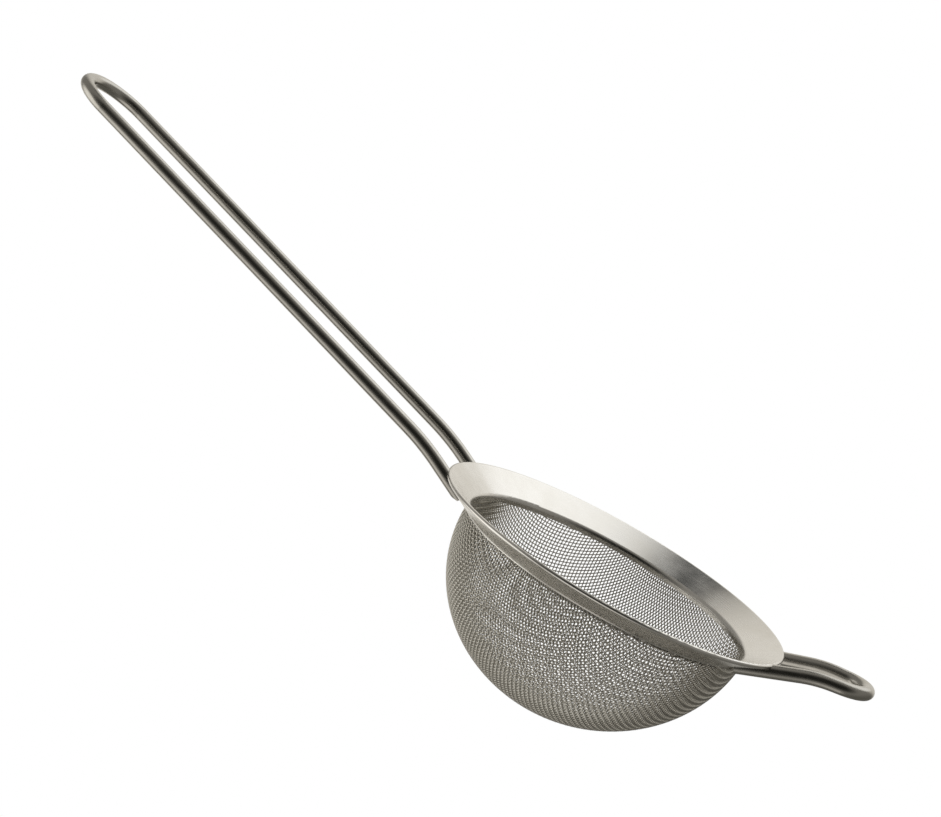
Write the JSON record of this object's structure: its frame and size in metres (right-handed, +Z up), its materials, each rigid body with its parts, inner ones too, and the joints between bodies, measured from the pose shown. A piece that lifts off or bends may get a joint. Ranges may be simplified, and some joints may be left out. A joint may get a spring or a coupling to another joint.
{
  "type": "tea strainer",
  "caption": "Hand-held tea strainer: a woven steel mesh bowl in a conical pressed rim, with a hairpin wire handle and a short rest loop for the cup's edge.",
  "frame": {"origin": "centre of the rim, level with the top of its lip", "axes": "+X from the rim's centre to the rest loop, the handle towards -X; +Z up, out of the bowl's mouth"},
  "size_m": [0.2149, 0.08, 0.0688],
  "materials": {
    "rim_steel": "satin pressed stainless sheet, brushed round the rim",
    "wire_steel": "bright drawn stainless wire with faint draw lines",
    "mesh_steel": "plain woven stainless cloth, 0.26 mm wires 0.8 mm apart"
  },
  "bodies": {
    "root": {"rim_flange": "rim_steel", "rim_clamp_ring": "rim_steel", "mesh_bowl": "mesh_steel", "handle_wire": "wire_steel", "rest_loop": "wire_steel"}
  },
  "joints": []
}
